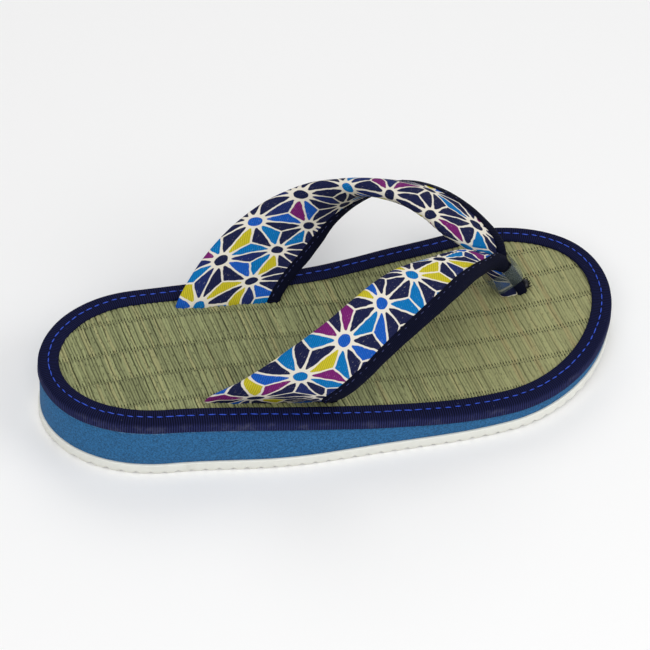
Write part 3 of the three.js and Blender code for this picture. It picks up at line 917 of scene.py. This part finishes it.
class MakeBinding(bpy.types.Operator):
    """Makes the ribbed tape folded over the mat's edge, and its stitches"""

    bl_idname = "sandal.make_binding"
    bl_label = "Mat binding"

    def execute(self, context):
        sizes = context.scene.sandal_sizes
        colours = context.scene.sandal_colours
        count = 420
        points, inward, total = outline(0, count)
        # The folded tape's section, as inset and height from its upper face.
        fold = (
            (0.9, -BINDING_HEIGHT + 0.2), (0.1, -BINDING_HEIGHT + 0.1), (-0.1, -4.4), (0, -3), (0, -1.9),
            (0.25, -0.9), (0.9, -0.2), (1.9, 0.05), (3.4, 0.1), (4.1, -0.02), (STITCH_INSET, -0.12),
            (4.9, -0.02), (6.3, 0.08), (7.9, 0), (8.5, -0.25), (BINDING_WIDTH, -0.75), (8.6, -1.3),
            (5, -1.5), (1.6, -1.5), (1.2, -2.4),
        )
        fold += fold[:1]
        width = [0.0]
        for a, b in zip(fold, fold[1:]):
            width.append(width[-1] + math.dist(a, b))

        def rim(at, inset, up):
            n = at % count
            point = points[n] + inward[n] * inset
            pucker = 0.12 * noise.noise(Vector((at * 0.21, inset * 0.3, 0))) + 0.06 * math.sin(at * 1.4)
            lift = pucker * step_up(0.5, 4, inset) * (1 - step_up(8.3, 8.6, inset))
            bulge = 0.16 * noise.noise(Vector((at * 0.08, up * 0.2, 9))) if inset < 1 else 0
            point -= inward[n] * bulge
            return Vector((point.x, point.y, binding_top(points[n].x) + up + lift))

        def shape(at, k):
            return rim(at, *fold[k]), (width[k], at * total / count)

        bm = skin(count, len(fold) - 1, shape)
        paint = tape_paint("navy binding", colours.binding, sizes.rib_pitch / MM, BINDING_SIDE)
        add_piece(bm, "ribbed_binding", paint, ["mat_binding"], 60)

        bm = new_mesh()
        chance = random.Random(7)
        stitches = round(total / (sizes.stitch_pitch / MM))
        long = sizes.stitch_length / MM
        for i in range(stitches):
            at = (i + 0.5) * count / stitches
            n = int(at)
            middle = rim(n, STITCH_INSET + chance.uniform(-0.18, 0.18), 0.05)
            middle = middle.lerp(rim(n + 1, STITCH_INSET, 0.05), at - n)
            along = (rim(n + 2, STITCH_INSET, 0) - rim(n - 2, STITCH_INSET, 0)).normalized()
            side = UPWARDS.cross(along).normalized()
            along = (along + side * chance.uniform(-0.09, 0.05)).normalized()
            up = along.cross(UPWARDS.cross(along)).normalized()
            stitch(bm, middle, along, up, long * chance.uniform(0.65, 1.04), sizes.stitch_thick / MM)
        paint = thread_paint("royal blue thread", colours.thread)
        add_piece(bm, "binding_stitches", paint, [], 180)
        return {"FINISHED"}


def padding(section, share):
    """Half the strap's thickness at a share of its width from the heel edge."""
    roll = math.sqrt(max(0, 1 - (1 - min(1, share / ROLLED_EDGE)) ** 2))
    fall = max(0, (share - ROLLED_EDGE) / (1 - ROLLED_EDGE))
    thin = (1 - math.cos(math.pi * fall)) / 2
    return section.pad / 2 * roll * (1 - thin * (1 - section.tape * 0.94 / section.pad))


def crease(section, last, share, face, side):
    """Small folds of the cloth: gathers at the slit, and wrinkles where the strap turns into the toe post."""
    at = section.at
    base = math.exp(-(((at - 1.2) / 0.55) ** 2))
    turn = math.exp(-(((at - (last - 5.2)) / 1.5) ** 2))
    fold = 0.22 * base * math.sin(share * 26 + section.along * 0.5)
    fold += 0.3 * turn * math.sin(section.along * 1.9 + share * 3) * (1 - share) ** 0.5
    fold += 0.22 * noise.noise(Vector((section.along * 0.12, share * 3, face + 3 * side)))
    return fold * step_up(0, 0.06, share)


def strap_point(section, last, share, face, side):
    """A point of the printed cover, at a share of its width on its outer face (1) or its other face (-1)."""
    start = -section.pad / 2
    end = section.width + section.tape / 2 - 1.2
    point = section.heel + section.across * blend(start, end, share)
    thick = padding(section, share) + crease(section, last, share, face, side)
    return press(point + section.out * face * thick, side)


# The cover's section: shares of its width, out along one face (1) and back along the other (-1).
COVER_STEPS = (0, 0.006, 0.025, 0.055, 0.1, 0.16, 0.23, 0.31, 0.4, 0.5, 0.6, 0.7, 0.79, 0.87, 0.94, 1)
COVER_LANES = [(share, 1) for share in reversed(COVER_STEPS)] + [(share, -1) for share in COVER_STEPS[1:]]


def make_strap(name, rows, side, material):
    """One padded strap in printed cotton."""
    made = sections(rows, SECTIONS_PER_ROW)
    last = len(rows) - 1
    count = len(COVER_LANES)
    crest = COVER_LANES.index((0, 1))
    rings = []
    for section in made:
        ring = [strap_point(section, last, share, face, side) for share, face in COVER_LANES]
        across = [0.0] * count
        for k in range(crest - 1, -1, -1):
            across[k] = across[k + 1] + (ring[k] - ring[k + 1]).length
        for k in range(crest + 1, count):
            across[k] = across[k - 1] - (ring[k] - ring[k - 1]).length
        rings.append((ring, across))

    def shape(i, k):
        ring, across = rings[i]
        return ring[k % count], (across[k % count], made[i].along)

    bm = skin(len(made) - 1, count, shape)
    piece = add_piece(bm, name, material, ["straps"], 75)
    return made


# The folded tape's section, in shares of its width and of half its thickness.
TAPE_FRONT = ((0, 0.9), (0.04, 1.12), (0.2, 1.16), (0.5, 1.1), (0.72, 0.98), (0.88, 0.72), (0.97, 0.36))
TAPE_LANES = [*TAPE_FRONT, (1, 0), *((share, -out) for share, out in reversed(TAPE_FRONT))]


def tape_point(section, share, out, side):
    """A point of the tape folded over a strap's toe edge."""
    roll = math.exp(-(((section.at - ROLL_ROW) / 2.2) ** 2)) * (side < 0)
    wide = min(TAPE_WIDTH + 1.5 * roll, 0.42 * section.width + 1.5)
    thick = section.tape / 2 + 0.25 + 0.7 * roll
    wave = 0.18 * noise.noise(Vector((section.along * 0.16, out * 2, side)))
    at = section.tape / 2 - wide + (wide + 0.2) * share + wave * (share > 0.9)
    point = section.toe + section.across * at
    return press(point + section.out * out * thick, side)


def make_tape(name, made, side, material, thread, sizes):
    """The navy tape of one strap, with its stitches added to the others."""
    count = len(TAPE_LANES)

    def shape(i, k):
        k %= count
        return tape_point(made[i], *TAPE_LANES[k], side), (TAPE_WIDTH * 2 * k / count, made[i].along)

    bm = skin(len(made) - 1, count, shape)
    add_piece(bm, name, material, ["strap_tape"], 75)
    pitch = sizes.stitch_pitch / MM
    chance = random.Random(11)
    stop = next(s.along for s in made if s.at > STITCHES_END)
    seam, lift = 0.26, 1.16
    at = 6.0
    while at < stop:
        i = next(k for k, s in enumerate(made) if s.along >= at)
        section = made[i]
        for out in (1, -1):
            middle = tape_point(section, seam + chance.uniform(-0.02, 0.02), out * lift, side)
            ahead = tape_point(made[i + 1], seam, out * lift, side)
            along = (ahead - middle).normalized()
            up = section.out * out
            up = (up - along * up.dot(along)).normalized()
            stitch(thread, middle, along, up, pitch * chance.uniform(0.25, 0.5), STRAP_STITCH_THICK)
        at += pitch


class MakeStraps(bpy.types.Operator):
    """Makes both printed straps, their navy tape and its stitches"""

    bl_idname = "sandal.make_straps"
    bl_label = "Straps"

    def execute(self, context):
        sizes = context.scene.sandal_sizes
        colours = context.scene.sandal_colours
        pitch = sizes.star_pitch / MM
        tape = tape_paint("navy strap tape", colours.strap_tape, TAPE_RIBS, -4.0)
        thread = new_mesh()
        # The strap, its rows and side, and the print's shift, turn and two seeds.
        prints = (
            ("outer", OUTER_STRAP, -1, (11.4, 52.9), -0.06, 302852, 67169),
            ("inner", INNER_STRAP, 1, (3.9, 65.0), -0.097, 1904212, 167364),
        )
        for name, rows, side, shift, turn, seed, dot_seed in prints:
            cotton = print_paint(name + " strap print", pitch, shift, turn, seed, dot_seed)
            made = make_strap(name + "_strap", rows, side, cotton)
            make_tape(name + "_strap_tape", made, side, tape, thread, sizes)
        paint = thread_paint("dark blue thread", colours.strap_thread)
        add_piece(thread, "strap_stitches", paint, [], 180)
        return {"FINISHED"}


class MakePostEnds(bpy.types.Operator):
    """Makes the clear film round the toe post and the frayed end of the tape"""

    bl_idname = "sandal.make_post_ends"
    bl_label = "Toe post film and frayed end"

    def execute(self, context):
        sizes = context.scene.sandal_sizes
        down = Vector((math.sin(POST_LEAN), 0, -math.cos(POST_LEAN)))
        across = Vector((math.cos(POST_LEAN), 0, math.sin(POST_LEAN)))
        foot = Vector((FILM_FOOT[0], POST_Y, binding_top(FILM_FOOT[0]) + FILM_FOOT[1]))
        # The film's section, as share of the height and place in the wall.
        outside = [(high, 0) for high in (0, 0.25, 0.5, 0.75, 1)]
        walls = outside + [(high, -FILM_WALL) for high in (1, 0.5, 0)]
        turns = 48

        def shape(i, k):
            angle = math.tau * (i % turns) / turns
            high, wall = walls[k % len(walls)]
            turned = (math.cos(angle), math.sin(angle))
            rounding = [math.copysign(abs(v) ** 0.5, v) for v in turned]
            bend = 0.3 * noise.noise(Vector((*turned, high)) * 2)
            grow = wall + bend + 0.25 * high
            point = foot - down * (FILM_LENGTH * high)
            point += across * (FILM_HALF_SIZE[0] + grow) * rounding[0]
            point += Vector((0, 1, 0)) * (FILM_HALF_SIZE[1] + grow) * rounding[1]
            return point, (i * 40 / turns, high * FILM_LENGTH)

        bm = skin(turns, len(walls), shape)
        add_piece(bm, "post_film", film_paint(), ["film_sleeve"], 60)

        bm = new_mesh()
        chance = random.Random(3)
        x, y = FRAY_PLACE
        top = binding_top(x) - MAT_DROP
        knot_size = Matrix.Diagonal((1.3 * MM, 2.6 * MM, 2.2 * MM, 1))
        matrix = Matrix.Translation(place((x - 0.4, y, top + 2.0))) @ Euler((0, 0.5, 0)).to_matrix().to_4x4()
        bmesh.ops.create_icosphere(bm, subdivisions=3, radius=1, matrix=matrix @ knot_size)
        for v in bm.verts:
            v.co += v.co.normalized() * 0.35 * MM * noise.noise(v.co * 900)
        for count in range(sizes.fibres):
            start = Vector((x - 0.6 + chance.uniform(-0.6, 0.6), y + chance.uniform(-2.2, 2.2), top + 1.2))
            lean = Euler((chance.uniform(-0.5, 0.5), chance.uniform(0.2, 1.25), 0)).to_matrix().to_4x4()
            long = chance.uniform(2.0, 3.6)
            matrix = Matrix.Translation(place(start)) @ lean @ Matrix.Translation((0, 0, long / 2 * MM))
            bmesh.ops.create_cone(bm, segments=5, radius1=0.28 * MM, radius2=0.1 * MM, depth=long * MM,
                                  cap_ends=True, matrix=matrix)
        paint = thread_paint("frayed navy thread", context.scene.sandal_colours.fray)
        add_piece(bm, "frayed_end", paint, ["tape_end"], 60)
        return {"FINISHED"}


def aim_object(made, at, aim, roll=0.0):
    """Stands a lamp or the camera at a place and turns it to another."""
    made.location = at
    made.rotation_mode = "QUATERNION"
    made.rotation_quaternion = (aim - at).to_track_quat("-Z", "Y") @ Euler((0, 0, roll)).to_quaternion()


class MakeStage(bpy.types.Operator):
    """Makes the floor, the lights and the camera"""

    bl_idname = "sandal.make_stage"
    bl_label = "Floor, lights and camera"

    def execute(self, context):
        paint = Paint("pale floor", Roughness=0.9, Specular_IOR_Level=0.1)
        tone = paint.grain(paint.body(), 0.02)
        base = context.scene.sandal_colours.floor
        paint.feed(Base_Color=paint.mix(tone * 0.1, base, scaled(base, 0.97)))
        bm = bmesh.new()
        bmesh.ops.create_grid(bm, x_segments=4, y_segments=4, size=6)
        add_mesh("floor", bm, paint.material)

        world = bpy.data.worlds.new("soft room")
        world.use_nodes = True
        sky = world.node_tree.nodes["Background"]
        sky.inputs["Color"].default_value = (1, 1, 1, 1)
        sky.inputs["Strength"].default_value = 0.5
        context.scene.world = world
        # Each lamp's name, place, size and power.
        lamps = (
            ("key_light", (-0.35, -0.6, 1.0), 0.9, 5.2),
            ("fill_light", (0.8, -0.5, 0.7), 0.8, 3.4),
            ("back_light", (0.1, 0.9, 0.9), 0.8, 2.4),
        )
        for name, at, size, power in lamps:
            lamp = bpy.data.lights.new(name, "AREA")
            lamp.shape = "DISK"
            lamp.size = size
            lamp.energy = power
            aim_object(add_object(name, lamp), Vector(at), Vector())
        context.scene.view_settings.view_transform = "Standard"

        azimuth, elevation, roll = (math.radians(a) for a in (-17.2, 44.25, 4.04))
        level = math.cos(elevation)
        back = Vector((math.sin(azimuth) * level, -math.cos(azimuth) * level, math.sin(elevation)))
        distance = 1.428
        eye = place((133.9, 96.5, 0)) + back * distance
        aim = place((123.7, 7.2, 20))
        focal_pixels, frame_pixels = 3220, 650
        camera = bpy.data.cameras.new("camera")
        camera.sensor_width = 36
        camera.lens = camera.sensor_width * focal_pixels / frame_pixels
        camera.clip_start = 0.05
        camera.clip_end = 20
        context.scene.camera = add_object("camera", camera)
        aim_object(context.scene.camera, eye, aim, roll)
        return {"FINISHED"}


STEPS = (MakeOutsole, MakeFoam, MakeMat, MakeBinding, MakeStraps, MakePostEnds, MakeStage)


class SandalPanel(bpy.types.Panel):
    """The sandal's sizes, colours and steps"""

    bl_idname = "VIEW3D_PT_sandal"
    bl_label = "Zori sandal"
    bl_space_type = "VIEW_3D"
    bl_region_type = "UI"
    bl_category = "Sandal"

    def draw(self, context):
        for group in (context.scene.sandal_sizes, context.scene.sandal_colours):
            for key in group.__annotations__:
                self.layout.prop(group, key)
        for step in STEPS:
            self.layout.operator(step.bl_idname)


CLASSES = (SandalSizes, SandalColours, *STEPS, SandalPanel)


def register():
    for cls in CLASSES:
        bpy.utils.register_class(cls)
    bpy.types.Scene.sandal_sizes = PointerProperty(type=SandalSizes)
    bpy.types.Scene.sandal_colours = PointerProperty(type=SandalColours)


def unregister():
    del bpy.types.Scene.sandal_colours
    del bpy.types.Scene.sandal_sizes
    for cls in reversed(CLASSES):
        bpy.utils.unregister_class(cls)


def main():
    register()
    bpy.ops.sandal.make_outsole()
    bpy.ops.sandal.make_foam()
    bpy.ops.sandal.make_mat()
    bpy.ops.sandal.make_binding()
    bpy.ops.sandal.make_straps()
    bpy.ops.sandal.make_post_ends()
    bpy.ops.sandal.make_stage()


if __name__ == "__main__":
    main()
